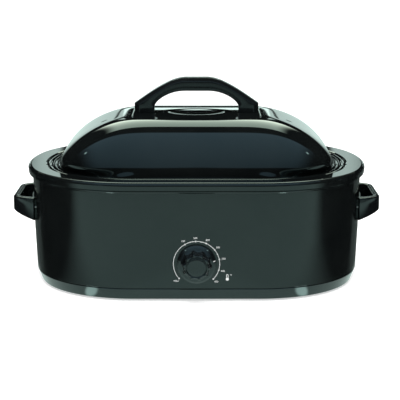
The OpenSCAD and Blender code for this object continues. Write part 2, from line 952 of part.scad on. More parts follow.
module roasting_rack()
{
    frame_r = frame_wire / 2;
    cross_r = cross_wire / 2;
    cross_z = rack_z + frame_r + cross_r - 0.7;
    bail_x = end_x + sqrt(pow(end_r - rack_inset, 2) - pow(bail_y, 2)) - 0.5;
    leg_inset = pan_wall(pan_floor + pan_fillet) + pan_fillet + leg_r + 0.5;
    color(steel)
    in_frame()
    union() {
        around()
            translate([-rack_inset, rack_z])
                circle(r = frame_r);
        for (i = [0 : cross_count - 1])
            let (x = (i - (cross_count - 1) / 2) * cross_pitch, y = depth_at(abs(x), rack_inset))
            translate([x, -y, cross_z])
                rotate([-90, 0, 0])
                    cylinder(r = cross_r, h = 2 * y);
        for (sx = [-1, 1], sy = [-1, 1])
            translate([sx * leg_x, sy * depth_at(leg_x, leg_inset), pan_floor + seat_gap])
                cylinder(r = leg_r, h = cross_z - pan_floor - seat_gap);
        for (side = [0, 1])
            mirror([side, 0, 0])
                translate([bail_x, 0, rack_z])
                    for (back = [0, 1])
                        mirror([0, back, 0]) {
                            translate([0, bail_y, 0])
                                cylinder(r = leg_r, h = bail_height - bail_r);
                            translate([0, bail_y - bail_r, bail_height - bail_r])
                                rotate([90, 0, 90])
                                    rotate_extrude(angle = 90)
                                        translate([bail_r, 0])
                                            circle(r = leg_r);
                            translate([0, 0, bail_height])
                                rotate([-90, 0, 0])
                                    cylinder(r = leg_r, h = bail_y - bail_r);
                        }
    }
}

// ---- lid ----

// A quarter of the outline from +X to +Y at an inset: end arc, corner arc, straight front
function quarter(inset) = concat(
    [for (t = [0, 0.5]) [end_x + (end_r - inset) * cos(end_angle * t),
                         (end_r - inset) * sin(end_angle * t)]],
    [for (i = [0 : 8]) let (t = end_angle + (90 - end_angle) * i / 8)
        [corner_x + (corner_r - inset) * cos(t), corner_y + (corner_r - inset) * sin(t)]],
    [for (t = [2, 1, 0]) [corner_x * t / 3, half_d - inset]]);

// The whole loop at a height, counter-clockwise from +X
function whole(q, z) =
    let (n = len(q))
    concat([for (i = [0 : n - 1]) [q[i][0], q[i][1], z]],
           [for (i = [n - 2 : -1 : 0]) [-q[i][0], q[i][1], z]],
           [for (i = [1 : n - 1]) [-q[i][0], -q[i][1], z]],
           [for (i = [n - 2 : -1 : 1]) [q[i][0], -q[i][1], z]]);

// A section of the dome: half lengths a and b, squareness m, blended in from the foot by w
function dome_quarter(a, b, m, w) =
    [for (p = quarter(dome_inset))
        let (x = p[0] / foot_x, y = p[1] / foot_y,
             k = pow(pow(x, m) + pow(y, m), -1 / m), s = 1 + (k - 1) * w)
        [a * x * s, b * y * s]];

// Squareness of the dome's section at a share u of its height
function squareness(u) =
    u < 0.5 ? foot_square + (hip_square - foot_square) * 2 * u
            : hip_square + (crown_square - hip_square) * (2 * u - 1);

// How far in the dome's wall has come at a share u of its height, for a slope's roundness
function shoulder(u, power) = 1 - pow(1 - pow(u, power), 1 / power);

function dome_ring(u, t) =
    let (lean = t * (1 - u * u * 0.9))
    whole(dome_quarter(foot_x - (foot_x - crown_x) * shoulder(u, slope_end) - lean,
                       foot_y - (foot_y - crown_y) * shoulder(u, slope_front) - lean,
                       squareness(u), smooth(u * hip_pace)),
          foot_z + dome_height * u - t * u);

function deck_ring(a, b, m, z) = whole(dome_quarter(a, b, m, 1), z);

function deck_rings(t) = [
    deck_ring((crown_x + deck_x) / 2, (crown_y + deck_y) / 2, crown_square,
              crown_z + crown_rise * 0.7 - t),
    deck_ring(deck_x, deck_y, crown_square, deck_z - t),
    deck_ring(recess_x, recess_y, 2, deck_z - t),
    deck_ring(recess_x * 0.88, recess_y * 0.88, 2, deck_z - recess_depth * 0.7 - t),
    deck_ring(recess_x * 0.6, recess_y * 0.6, 2, deck_z - recess_depth - t)];

module lid_dome()
{
    flange = concat(
        arc(-lid_roll_inset, lid_roll_z, lid_roll_r, -25, 155, 5),
        [[-lid_roll_inset - 4.1, lid_roll_z + 0.2], [-ridge_inset + 1.6, lid_roll_z + 1.5],
         [-ridge_inset, lid_roll_z + 2.2], [-ridge_inset - 1.6, lid_roll_z + 1.7],
         [-dome_inset + 1, lid_roll_z + 1.2]]);
    shell = sheet(flange, lid_sheet);
    n = len(flange);
    outer = concat([for (i = [0 : n - 1]) whole(quarter(-shell[i][0]), shell[i][1])],
                   [for (u = dome_shares) dome_ring(u, 0)], deck_rings(0));
    under = concat([for (i = [2 * n - 1 : -1 : n]) whole(quarter(-shell[i][0]), shell[i][1])],
                   [for (u = dome_shares) dome_ring(u, lid_sheet)], deck_rings(lid_sheet));
    color(enamel)
    in_frame()
    difference() {
        skin(concat([for (i = [len(under) - 1 : -1 : 0]) under[i]], outer));
        for (side = [-1, 1]) {
            translate([side * handle_screw_x, 0, foot_z])
                cylinder(d = handle_screw_d + 2 * screw_gap, h = 2 * dome_height);
            translate([side * vent_place[0], -vent_place[1], foot_z])
                linear_extrude(dome_height)
                    square([vent_length, vent_width], center = true);
        }
    }
}

// One ring of the lid handle between its outer and inner curve, with edges of radius r outside
function handle_ring(o, i, r) =
    let (mid = (o + i) / 2, h = norm(o - i) / 2, out = unit(o - i))
    [for (p = rounded_section(handle_depth / 2, h, 3, r))
        [mid[0] + out[0] * p[1], p[0], deck_z + mid[1] + out[1] * p[1]]];

module lid_handle()
{
    o_x = handle_length / 2;
    i_x = o_x - handle_foot;
    under_z = handle_height - handle_thick;
    outer = concat([[o_x, seat_gap], [o_x, 8]],
                   [for (i = [0 : 7]) bezier([o_x, 15], [o_x * 0.76, 0.56 * handle_height],
                        [o_x * 0.43, handle_height], [o_x * 0.17, handle_height], i / 7)]);
    inner = concat([[i_x, seat_gap], [i_x, 6]],
                   [for (i = [0 : 7]) bezier([i_x, 11], [i_x * 0.97, 0.55 * under_z],
                        [i_x * 0.67, under_z], [i_x * 0.28, under_z], i / 7)]);
    n = len(outer);
    edges = [for (k = [0 : n - 1])
        handle_edge_foot + (handle_edge_top - handle_edge_foot) * smooth(1.5 * k / n)];
    rings = concat(
        [for (k = [0 : n - 1]) handle_ring([-outer[k][0], outer[k][1]],
                                           [-inner[k][0], inner[k][1]], edges[k])],
        [for (k = [n - 1 : -1 : 0]) handle_ring(outer[k], inner[k], edges[k])]);
    color(moulded)
    in_frame()
    difference() {
        skin(rings);
        for (side = [-1, 1])
            translate([side * handle_screw_x, 0, deck_z - 1])
                cylinder(d = handle_screw_d + 2 * run_gap, h = handle_screw_bite + 2);
    }
}

module lid_handle_screws()
{
    head = lid_sheet + washer_t + 2 * seat_gap;
    color(zinc)
    in_frame()
    for (side = [-1, 1])
        translate([side * handle_screw_x, 0, deck_z]) {
            translate([0, 0, -head])
                cylinder(d = handle_screw_d, h = head + handle_screw_bite);
            translate([0, 0, -head - 0.6 * handle_screw_d])
                cylinder(d = 2 * handle_screw_d, h = 0.6 * handle_screw_d);
        }
}

module lid_handle_washers()
{
    color(steel)
    in_frame()
    for (side = [-1, 1])
        translate([side * handle_screw_x, 0, deck_z - lid_sheet - washer_t - seat_gap])
            difference() {
                cylinder(d = 2 * handle_screw_d + 3, h = washer_t);
                translate([0, 0, -1])
                    cylinder(d = handle_screw_d + 2 * run_gap, h = washer_t + 2);
            }
}

base_ring();
body_wrap();
well_liner();
bottom_plate();
rubber_feet();
tie_studs();
stud_nuts();
reflector_plate();
heater_band();
heater_straps();
insulation_blanket();
side_handle_left();
side_handle_right();
side_handle_screws();
side_handle_washers();
thermostat_body();
thermostat_bracket();
thermostat_nut();
cord_gland();
gland_nut();
terminal_block();
control_shaft();
knob();
knob_spring();
pan();
roasting_rack();
lid_dome();
lid_handle();
lid_handle_screws();
lid_handle_washers();
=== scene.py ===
import math
import bpy
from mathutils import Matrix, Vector
from mathutils.bvhtree import BVHTree


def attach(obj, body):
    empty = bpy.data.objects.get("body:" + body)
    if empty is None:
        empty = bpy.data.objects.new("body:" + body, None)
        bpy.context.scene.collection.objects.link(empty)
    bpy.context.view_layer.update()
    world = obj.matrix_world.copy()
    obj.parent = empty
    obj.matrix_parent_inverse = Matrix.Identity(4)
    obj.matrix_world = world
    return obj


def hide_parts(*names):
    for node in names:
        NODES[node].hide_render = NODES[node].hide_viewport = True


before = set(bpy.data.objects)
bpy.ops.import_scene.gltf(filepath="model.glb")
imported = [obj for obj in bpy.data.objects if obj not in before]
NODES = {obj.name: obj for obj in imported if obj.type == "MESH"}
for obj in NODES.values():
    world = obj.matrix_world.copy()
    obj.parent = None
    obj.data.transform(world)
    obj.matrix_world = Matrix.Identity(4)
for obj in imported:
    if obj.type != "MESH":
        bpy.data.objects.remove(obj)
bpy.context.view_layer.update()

SCENE = bpy.context.scene
PI = math.pi

# ---------------------------------------------------------------- sizes in mm, as in part.scad
RIM_LENGTH, RIM_HEIGHT = 572, 11.7
CORNER_R, END_R = 180.0, 305.0
LEAN_SIN, LEAN_COS = 0.28, 0.96         # the direction in which the two radii meet
HALF_L = RIM_LENGTH / 2
END_X = HALF_L - END_R
CORNER_X = END_X + (END_R - CORNER_R) * LEAN_COS
CORNER_Y = (END_R - CORNER_R) * LEAN_SIN
HALF_D = CORNER_Y + CORNER_R
END_A = math.asin(LEAN_SIN)

BASE_TOP = 20.8
WRAP_HEIGHT, BEAD_HEIGHT = 156, 7
WRAP_TOP = BASE_TOP + WRAP_HEIGHT
WRAP_MID = BASE_TOP + WRAP_HEIGHT * 0.43
WRAP_BOTTOM = BASE_TOP + 0.4
WRAP_INSET_FOOT, WRAP_INSET_MID, WRAP_INSET_TOP = 12.2, 9.2, 7.6
RIM_TOP = WRAP_TOP + BEAD_HEIGHT + RIM_HEIGHT

SEAT = 0.3                              # the gap between pieces that rest on each other
SHEET = 1.2
LEDGE_DROP = 7.5
FLANGE_EDGE, ROLL_GAP, PAN_ROLL_R, LID_ROLL_R = 32.3, 0.8, 3.6, 3.0
PAN_SHELF = RIM_TOP - LEDGE_DROP + SEAT + SHEET
LID_ROLL_INSET = FLANGE_EDGE + ROLL_GAP + PAN_ROLL_R + PAN_ROLL_R + ROLL_GAP + LID_ROLL_R
LID_ROLL_Z = PAN_SHELF + SEAT + 1.3

DOME_INSET = LID_ROLL_INSET + 10.9
DOME_H, CROWN_RISE = 84.5, 1.5
FOOT_Z = PAN_SHELF + 3.5
CROWN_Z = FOOT_Z + DOME_H
DECK_Z = CROWN_Z + CROWN_RISE
FOOT_X, FOOT_Y = HALF_L - DOME_INSET, HALF_D - DOME_INSET
CROWN_X, CROWN_Y = 108.0, 89.0
DECK_X, DECK_Y = 106.0, 60.0
RECESS_X, RECESS_Y = 50.0, 41.0
SLOPE_END, SLOPE_FRONT = 1.7, 1.6

HANDLE_LENGTH, HANDLE_HEIGHT, HANDLE_DEPTH = 210.0, 58.5, 34.0
HANDLE_THICK, HANDLE_FOOT = 21.9, 34
SIDE_REACH, SIDE_TOP, SIDE_GRIP, SIDE_SPAN = 23, 143.5, 84.0, 142.0
SIDE_WALL, SIDE_ROOT_WALL, SIDE_H, SIDE_ROOT_H, SIDE_SPLAY = 10.0, 14.0, 25.0, 38.0, 18
KNOB_Z, KNOB_OUT = 63.0, 26.0
KNOB_SKIRT_R, KNOB_GRIP_R, KNOB_DISC_R = 31.4, 24.5, 14.5
KNOB_REST = 12                          # degrees: where the pointer stands at rest

# The lid's shell in the scene: how square its rings are at foot, hip and crown, how fast they leave
# the foot's outline, and the recess and vents as the photo shows them.
FOOT_SQUARE, HIP_SQUARE, CROWN_SQUARE, HIP_PACE = 3.85, 5.85, 7.4, 7.5
RECESS_DEPTH = 0.5
VENT_X, VENT_Y, VENT_LENGTH, VENT_WIDTH = 155.0, 34.0, 11, 8


def smooth(t):
    t = max(0.0, min(1.0, t))
    return t * t * (3 - 2 * t)


def mix(a, b, t):
    return a + (b - a) * t


def wrap_inset(z):
    """How far the wrap stands inside the rim at height z."""
    if z < WRAP_MID:
        return mix(WRAP_INSET_FOOT, WRAP_INSET_MID, (z - WRAP_BOTTOM) / (WRAP_MID - WRAP_BOTTOM))
    return mix(WRAP_INSET_MID, WRAP_INSET_TOP, (z - WRAP_MID) / (WRAP_TOP - WRAP_MID))


FRONT_FACE = HALF_D - wrap_inset(KNOB_Z)
MIDDLE_Y = (FRONT_FACE + KNOB_OUT - HALF_D) / 2


def metres(p):
    """The shapes are made around the rim's centre, which lies behind the middle of the whole."""
    return (p[0] / 1000, (p[1] + MIDDLE_Y) / 1000, p[2] / 1000)


# ---------------------------------------------------------------- node trees and materials
class Tree:
    """A node tree with short calls for its nodes and links."""

    def __init__(self, nt):
        self.nt = nt

    def node(self, kind, **inputs):
        """A new node. The inputs are set by name, with _ for a space."""
        n = self.nt.nodes.new(kind)
        for key, value in inputs.items():
            n.inputs[key.replace("_", " ")].default_value = value
        return n

    def link(self, a, b):
        self.nt.links.new(a, b)


class Mat(Tree):
    """A procedural material: a Principled shader with helpers for its maps."""

    def __init__(self, name, color, rough, metallic=0.0, ior=1.5, tint=None):
        self.m = bpy.data.materials.new(name)
        self.m.use_nodes = True
        super().__init__(self.m.node_tree)
        self.shader = self.nt.nodes["Principled BSDF"]
        self.set("Base Color", (*color, 1))
        self.set("Roughness", rough)
        self.set("Metallic", metallic)
        self.set("IOR", ior)
        if tint:
            self.set("Specular Tint", (*tint, 1))
        self.place = self.node("ShaderNodeTexCoord").outputs["Object"]
        self.m.diffuse_color = (*color, 1)

    def set(self, key, value):
        self.shader.inputs[key].default_value = value

    def stretch(self, scale):
        n = self.node("ShaderNodeMapping", Scale=scale)
        self.link(self.place, n.inputs["Vector"])
        return n.outputs["Vector"]

    def noise(self, scale, detail, rough, vector=None):
        """Noise with scale lumps to the metre."""
        n = self.node("ShaderNodeTexNoise", Scale=scale, Detail=detail, Roughness=rough)
        self.link(vector or self.place, n.inputs["Vector"])
        return n.outputs["Fac"]

    def rough(self, fac, low, high):
        n = self.node("ShaderNodeMapRange", From_Min=0.3, From_Max=0.7, To_Min=low, To_Max=high)
        self.link(fac, n.inputs["Value"])
        self.link(n.outputs["Result"], self.shader.inputs["Roughness"])

    def colors(self, fac, first, second):
        n = self.node("ShaderNodeValToRGB")
        for element, position, color in zip(n.color_ramp.elements, (0.35, 0.65), (first, second)):
            element.position = position
            element.color = (*color, 1)
        self.link(fac, n.inputs["Fac"])
        self.link(n.outputs["Color"], self.shader.inputs["Base Color"])

    def bump(self, fac, strength, distance, after=None):
        """Bump on top of the bump after, with the distance in metres."""
        n = self.node("ShaderNodeBump", Strength=strength, Distance=distance)
        self.link(fac, n.inputs["Height"])
        if after:
            self.link(after, n.inputs["Normal"])
        self.link(n.outputs["Normal"], self.shader.inputs["Normal"])
        return n.outputs["Normal"]


GLOSS_TINT = (0.80, 1.0, 1.0)


def enamel(name, rough, low, high, peel):
    """Fired black enamel on pressed steel: deep gloss, a faint orange peel and a thin haze."""
    m = Mat(name, (0.0035, 0.0045, 0.0045), rough, ior=1.5, tint=GLOSS_TINT)
    m.colors(m.noise(9, 4, 0.6), (0.0028, 0.0036, 0.0038), (0.0048, 0.006, 0.006))
    m.rough(m.noise(38, 5, 0.62), low, high)
    m.bump(m.noise(420, 2, 0.5), peel, 0.00006)
    return m.m


def plastic(name, color, low, high, grain):
    """Moulded phenolic, rubber or ceramic, with the fine grain that the mould leaves."""
    m = Mat(name, color, 0.3, ior=1.52, tint=GLOSS_TINT)
    m.colors(m.noise(22, 4, 0.6), tuple(c * 0.75 for c in color), tuple(c * 1.3 for c in color))
    m.rough(m.noise(60, 4, 0.6), low, high)
    fine = m.bump(m.noise(1500, 2, 0.6), grain, 0.00005)
    m.bump(m.noise(160, 2, 0.5), grain * 0.5, 0.0001, fine)
    return m.m


def metal(name, color, low, high, brush=(6, 6, 260), strength=0.12):
    """Drawn or plated metal with fine lines along one direction."""
    m = Mat(name, color, 0.3, metallic=1.0)
    lines = m.noise(4, 5, 0.6, m.stretch(brush))
    m.colors(lines, tuple(c * 0.88 for c in color), color)
    m.rough(lines, low, high)
    m.bump(lines, strength, 0.00005)
    return m.m


def glass_wool():
    m = Mat("insulation", (0.72, 0.66, 0.48), 0.95)
    fibre = m.noise(240, 6, 0.7, m.stretch((1, 1, 3)))
    m.colors(fibre, (0.5, 0.44, 0.3), (0.82, 0.77, 0.6))
    m.bump(fibre, 0.8, 0.0012)
    m.set("Sheen Weight", 0.3)
    return m.m


def print_white():
    m = Mat("print_white", (0.86, 0.88, 0.87), 0.45, ior=1.45)
    m.colors(m.noise(900, 2, 0.5), (0.8, 0.82, 0.81), (0.9, 0.92, 0.91))
    m.rough(m.noise(300, 2, 0.5), 0.4, 0.55)
    return m.m


BODY = enamel("body_enamel", 0.14, 0.1, 0.17, 0.05)
LID = enamel("lid_enamel", 0.03, 0.02, 0.04, 0.02)
WELL = enamel("well_enamel", 0.035, 0.025, 0.05, 0.02)
PAN = enamel("pan_enamel", 0.035, 0.025, 0.05, 0.03)
BASE = plastic("base_moulding", (0.006, 0.0075, 0.0075), 0.14, 0.22, 0.06)
HANDLE = plastic("handle_moulding", (0.004, 0.005, 0.0055), 0.07, 0.12, 0.04)
KNOB = plastic("knob_moulding", (0.004, 0.005, 0.0055), 0.05, 0.09, 0.03)
RUBBER = plastic("rubber", (0.012, 0.012, 0.012), 0.6, 0.75, 0.3)
CERAMIC = plastic("ceramic", (0.7, 0.66, 0.58), 0.4, 0.55, 0.15)
ZINC = metal("zinc_sheet", (0.62, 0.63, 0.62), 0.3, 0.46, (9, 9, 9), 0.05)
STEEL = metal("bright_steel", (0.66, 0.66, 0.65), 0.2, 0.34)
CHROME = metal("rack_chrome", (0.74, 0.74, 0.73), 0.08, 0.16, (30, 30, 30), 0.03)
HEATER = metal("heater", (0.42, 0.35, 0.24), 0.35, 0.5)
WOOL = glass_wool()
INK = print_white()

FINISH = {
    "base_ring": BASE, "body_wrap": BODY, "well_liner": WELL, "bottom_plate": ZINC,
    "rubber_feet": RUBBER, "tie_studs": ZINC, "stud_nuts": ZINC, "reflector_plate": STEEL,
    "heater_band": HEATER, "heater_straps": STEEL, "insulation_blanket": WOOL,
    "side_handle_left": HANDLE, "side_handle_right": HANDLE, "side_handle_screws": ZINC,
    "side_handle_washers": STEEL, "thermostat_body": CERAMIC, "thermostat_bracket": ZINC,
    "thermostat_nut": ZINC, "cord_gland": RUBBER, "gland_nut": ZINC, "terminal_block": CERAMIC,
    "control_shaft": STEEL, "knob": KNOB, "knob_spring": STEEL, "pan": PAN,
    "roasting_rack": CHROME, "lid_dome": LID, "lid_handle": HANDLE, "lid_handle_screws": ZINC,
    "lid_handle_washers": STEEL,
}
for name, mat in FINISH.items():
    for slot in NODES[name].material_slots:
        slot.link = "OBJECT"
        slot.material = mat


# ---------------------------------------------------------------- mesh helpers
def new_object(name, data):
    obj = bpy.data.objects.new(name, data)
    SCENE.collection.objects.link(obj)
    return obj


def piece(name, shape, mat, body, replaces=(), sharp=None):
    """A piece from vertices in mm and faces. Edges past sharp degrees stay sharp, and without
    sharp every face is flat."""
    verts, faces = shape
    mesh = bpy.data.meshes.new(name)
    mesh.from_pydata([metres(v) for v in verts], [], faces)
    mesh.validate()
    mesh.update()
    obj = new_object(name, mesh)
    mesh.materials.append(mat)
    if sharp:
        mesh.shade_smooth()
        mesh.set_sharp_from_angle(angle=math.radians(sharp))
    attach(obj, body)
    if replaces:
        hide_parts(*replaces)
    return obj


def skin(rings, caps=(True, True)):
    """Vertices and faces through closed rings of equal count, capped at the first and the last."""
    n = len(rings[0])
    faces = []
    for j in range(len(rings) - 1):
        for i in range(n):
            k = (i + 1) % n
            faces.append((j * n + i, j * n + k, (j + 1) * n + k, (j + 1) * n + i))
    if caps[0]:
        faces.append(tuple(reversed(range(n))))
    if caps[1]:
        faces.append(tuple((len(rings) - 1) * n + i for i in range(n)))
    return [p for ring in rings for p in ring], faces


def join(parts):
    verts, faces = [], []
    for v, f in parts:
        base = len(verts)
        verts += v
        faces += [tuple(base + i for i in p) for p in f]
    return verts, faces


def arc(x, y, r, start, end, steps):
    """Points on an arc, with the angles in degrees."""
    angles = [math.radians(mix(start, end, i / steps)) for i in range(steps + 1)]
    return [(x + r * math.cos(a), y + r * math.sin(a)) for a in angles]


def bezier(a, b, c, d, t):
    return tuple(a[i] * (1 - t) ** 3 + b[i] * 3 * t * (1 - t) ** 2 + c[i] * 3 * t * t * (1 - t)
                 + d[i] * t ** 3 for i in (0, 1))


def bezier_slope(a, b, c, d, t):
    return [(b[i] - a[i]) * (1 - t) ** 2 + (c[i] - b[i]) * 2 * t * (1 - t) + (d[i] - c[i]) * t * t
            for i in (0, 1)]


def sheet(path, t):
    """A polyline thickened on its left, as in the part's source."""
    out = []
    for i in range(len(path) - 1, -1, -1):
        j, k = max(i, 1), min(i, len(path) - 2)
        d1 = Vector((path[j][0] - path[j - 1][0], path[j][1] - path[j - 1][1])).normalized()
        d2 = Vector((path[k + 1][0] - path[k][0], path[k + 1][1] - path[k][1])).normalized()
        l1, l2 = Vector((-d1.y, d1.x)), Vector((-d2.y, d2.x))
        m = (l1 + l2).normalized()
        s = t / max(0.5, m.dot(l1))
        out.append((path[i][0] + m.x * s, path[i][1] + m.y * s))
    return list(path) + out


# ---------------------------------------------------------------- the lid's shell
END_STEPS, CORNER_STEPS, FRONT_STEPS = 8, 36, 12
DOME_STEPS, DECK_STEPS, OVAL_STEPS, RECESS_STEPS = 48, 10, 6, 10


def quarter(inset):
    """A quarter of the rim's outline moved in by inset: bowed end, corner and straight front."""
    end_r, corner_r = END_R - inset, CORNER_R - inset
    pts = []
    for i in range(END_STEPS):
        t = END_A * i / END_STEPS
        pts.append((END_X + end_r * math.cos(t), end_r * math.sin(t)))
    for i in range(CORNER_STEPS + 1):
        t = mix(END_A, PI / 2, i / CORNER_STEPS)
        pts.append((CORNER_X + corner_r * math.cos(t), CORNER_Y + corner_r * math.sin(t)))
    for i in range(1, FRONT_STEPS + 1):
        pts.append((CORNER_X * (1 - i / FRONT_STEPS), HALF_D - inset))
    return pts


def whole(q, z):
    """A closed ring at height z from its first quarter."""
    n = len(q)
    return ([(x, y, z) for x, y in q] + [(-q[i][0], q[i][1], z) for i in range(n - 2, -1, -1)]
            + [(-q[i][0], -q[i][1], z) for i in range(1, n)]
            + [(q[i][0], -q[i][1], z) for i in range(n - 2, 0, -1)])


FOOT = quarter(DOME_INSET)


def dome_quarter(a, b, power, w):
    """A quarter ring of half sizes a and b, w of the way from the foot's outline to an oval of
    that power."""
    pts = []
    for px, py in FOOT:
        x, y = max(px, 0) / FOOT_X, max(py, 0) / FOOT_Y
        k = (x ** power + y ** power) ** (-1 / power)
        s = 1 + (k - 1) * w
        pts.append((a * x * s, b * y * s))
    return pts


def shoulder(u, power):
    return 1 - (1 - u ** power) ** (1 / power)


def squareness(u):
    if u < 0.5:
        return mix(FOOT_SQUARE, HIP_SQUARE, 2 * u)
    return mix(HIP_SQUARE, CROWN_SQUARE, 2 * u - 1)


def dome_ring(u, t):
    """The ring at u of the dome's height, t inside the outer skin."""
    lean = t * (1 - u * u * 0.9)
    return whole(dome_quarter(FOOT_X - (FOOT_X - CROWN_X) * shoulder(u, SLOPE_END) - lean,
                              FOOT_Y - (FOOT_Y - CROWN_Y) * shoulder(u, SLOPE_FRONT) - lean,
                              squareness(u), smooth(u * HIP_PACE)),
                 FOOT_Z + DOME_H * u - t * u)


def deck_ring(a, b, power, s, drop):
    """A ring s of the way from the crown up to the deck, which falls a little to front and back."""
    rise = math.sin(PI / 2 * s)
    return [(x, y, mix(CROWN_Z, DECK_Z - CROWN_RISE * (y / CROWN_Y) ** 2, rise) - drop)
            for x, y, _ in whole(dome_quarter(a, b, power, 1), 0)]


def deck_rings(t):
    """From the crown over the deck to the oval of the finger recess, and down into it."""
    rings = []
    for i in range(1, DECK_STEPS + 1):
        s = i / DECK_STEPS
        rings.append(deck_ring(mix(CROWN_X, DECK_X, s), mix(CROWN_Y, DECK_Y, s),
                               CROWN_SQUARE, s, t))
    for i in range(1, OVAL_STEPS + 1):
        s = i / OVAL_STEPS
        rings.append(deck_ring(mix(DECK_X, RECESS_X, s), mix(DECK_Y, RECESS_Y, s),
                               mix(CROWN_SQUARE, 2, s), 1, t))
    wall = [i / RECESS_STEPS for i in range(1, RECESS_STEPS + 1)]
    recess = [(1.0 - 0.15 * s, smooth(s)) for s in wall] + [(f, 1) for f in (0.75, 0.62, 0.4, 0.18)]
    for f, depth in recess:
        rings.append(deck_ring(RECESS_X * f, RECESS_Y * f, 2, 1, RECESS_DEPTH * depth + t))
    return rings


def lid_shell():
    roll_x, roll_z = -LID_ROLL_INSET, LID_ROLL_Z
    ridge_out, ridge_in, ridge_steps, ridge_high = roll_x - 4.9, -DOME_INSET + 1.0, 24, 1.3
    fade_from, fade_over, kept = 150, 50, 0.12
    flange = arc(roll_x, roll_z, LID_ROLL_R, -25, 155, 14)
    flange += [(roll_x - 4.1, roll_z + 0.2), (roll_x - 4.7, roll_z + 0.35)]
    flange += [(mix(ridge_out, ridge_in, i / ridge_steps), roll_z + mix(0.45, 1.1, i / ridge_steps))
               for i in range(1, ridge_steps)]
    flange.append((-DOME_INSET + 0.9, roll_z + 1.15))

    def flange_ring(x, z):
        """The ridge that runs round the ends fades out along the front and the back."""
        s = min(1, max(0, (x - ridge_out) / (ridge_in - ridge_out)))
        high = ridge_high * math.sin(PI * smooth(s)) ** 2
        ring = []
        for px, py, pz in whole(quarter(-x), z):
            share = kept + (1 - kept) * smooth((abs(px) - fade_from) / fade_over)
            ring.append((px, py, pz + high * share))
        return ring

    shell = sheet(flange, SHEET)
    n = len(flange)
    shares = [math.sin(PI / 2 * i / DOME_STEPS) for i in range(DOME_STEPS + 1)]
    outer = [flange_ring(x, z) for x, z in shell[:n]]
    outer += [dome_ring(u, 0) for u in shares] + deck_rings(0)
    under = [flange_ring(x, z) for x, z in reversed(shell[n:])]
    under += [dome_ring(u, SHEET) for u in shares] + deck_rings(SHEET)
    return skin(list(reversed(under)) + outer)


def vent_cutter(x, y):
    """A round-ended bar through the lid's sheet."""
    reach, r = (VENT_LENGTH - VENT_WIDTH) / 2, VENT_WIDTH / 2
    loop = arc(x + reach, y, r, -90, 90, 10) + arc(x - reach, y, r, 90, 270, 10)
    return skin([[(px, py, z) for px, py in loop] for z in (FOOT_Z + 20, DECK_Z + 10)])


def near_vent(place):
    """Says whether a point of the lid, in metres, lies at or beside a vent."""
    return (place.z > 0.22 and abs(abs(place.x) - VENT_X / 1000) < 0.02
            and abs(place.y * 1000 - MIDDLE_Y + VENT_Y) < 12)


def cut_vents(obj):
    """Opens the two steam slots and gives the cut sheet back its smooth normals."""
    uncut = obj.data.copy()
    points = [v.co.copy() for v in uncut.vertices]
    normals = [n.vector.copy() for n in uncut.vertex_normals]
    tree = BVHTree.FromPolygons(points, [tuple(p.vertices) for p in uncut.polygons])
    cutters = []
    for side in (-1, 1):
        verts, faces = vent_cutter(side * VENT_X, -VENT_Y)
        mesh = bpy.data.meshes.new("cutter")
        mesh.from_pydata([metres(v) for v in verts], [], faces)
        cutters.append(new_object("cutter", mesh))
        mod = obj.modifiers.new("vent", "BOOLEAN")
        mod.operation, mod.solver, mod.object = "DIFFERENCE", "EXACT", cutters[-1]
    cut = bpy.data.meshes.new_from_object(obj.evaluated_get(bpy.context.evaluated_depsgraph_get()))
    obj.modifiers.clear()
    for cutter in cutters:
        bpy.data.objects.remove(cutter)
    old = obj.data
    obj.data = cut
    cut.name = old.name
    bpy.data.meshes.remove(old)

    loops = [n.vector.copy() for n in cut.corner_normals]
    for poly in cut.polygons:
        if not near_vent(poly.center):
            continue
        _, sheet_normal, _, _ = tree.find_nearest(poly.center)
        if abs(sheet_normal.dot(poly.normal)) < 0.6:        # a wall of the slot stays flat
            for li in poly.loop_indices:
                loops[li] = poly.normal.copy()
            continue
        for li in poly.loop_indices:
            spot, _, face, _ = tree.find_nearest(cut.vertices[cut.loops[li].vertex_index].co)
            total = Vector((0, 0, 0))
            for v in uncut.polygons[face].vertices:
                total += normals[v] * (1 / ((points[v] - spot).length + 1e-7))
            total.normalize()
            loops[li] = total if total.dot(poly.normal) > 0 else -total
    cut.normals_split_custom_set(loops)
    bpy.data.meshes.remove(uncut)


cut_vents(piece("lid_shell", lid_shell(), LID, "lid", ("lid_dome",), sharp=32))


# ---------------------------------------------------------------- handles
def rounded(w, h, r):
    """A rounded rectangle with half sizes w and h."""
    pts = []
    for sx, sy, start in ((1, -1, -90), (1, 1, 0), (-1, 1, 90), (-1, -1, 180)):
        pts += arc(sx * w - sx * r, sy * h - sy * r, r, start, start + 90, 4)
    return pts


def bevelled(w, h, low, run, drop, r=1.2):
    """As rounded, with its two high corners cut off flat, run across by drop down."""
    tilt = math.degrees(math.atan2(run, drop))
    a = (w - r, h - drop - r * math.tan(math.radians(tilt / 2)))
    b = (w - run - r * math.tan(math.radians(45 - tilt / 2)), h - r)
    first, last = arc(*a, r, 0, tilt, 4), arc(*b, r, tilt, 90, 4)
    (ax, ay), (bx, by) = first[-1], last[0]
    flat = [(mix(ax, bx, t), mix(ay, by, t)) for t in (0.15, 0.85)]
    side = arc(w - low, low - h, low, -90, 0, 5) + first + flat + last
    return side + [(-x, y) for x, y in reversed(side)]


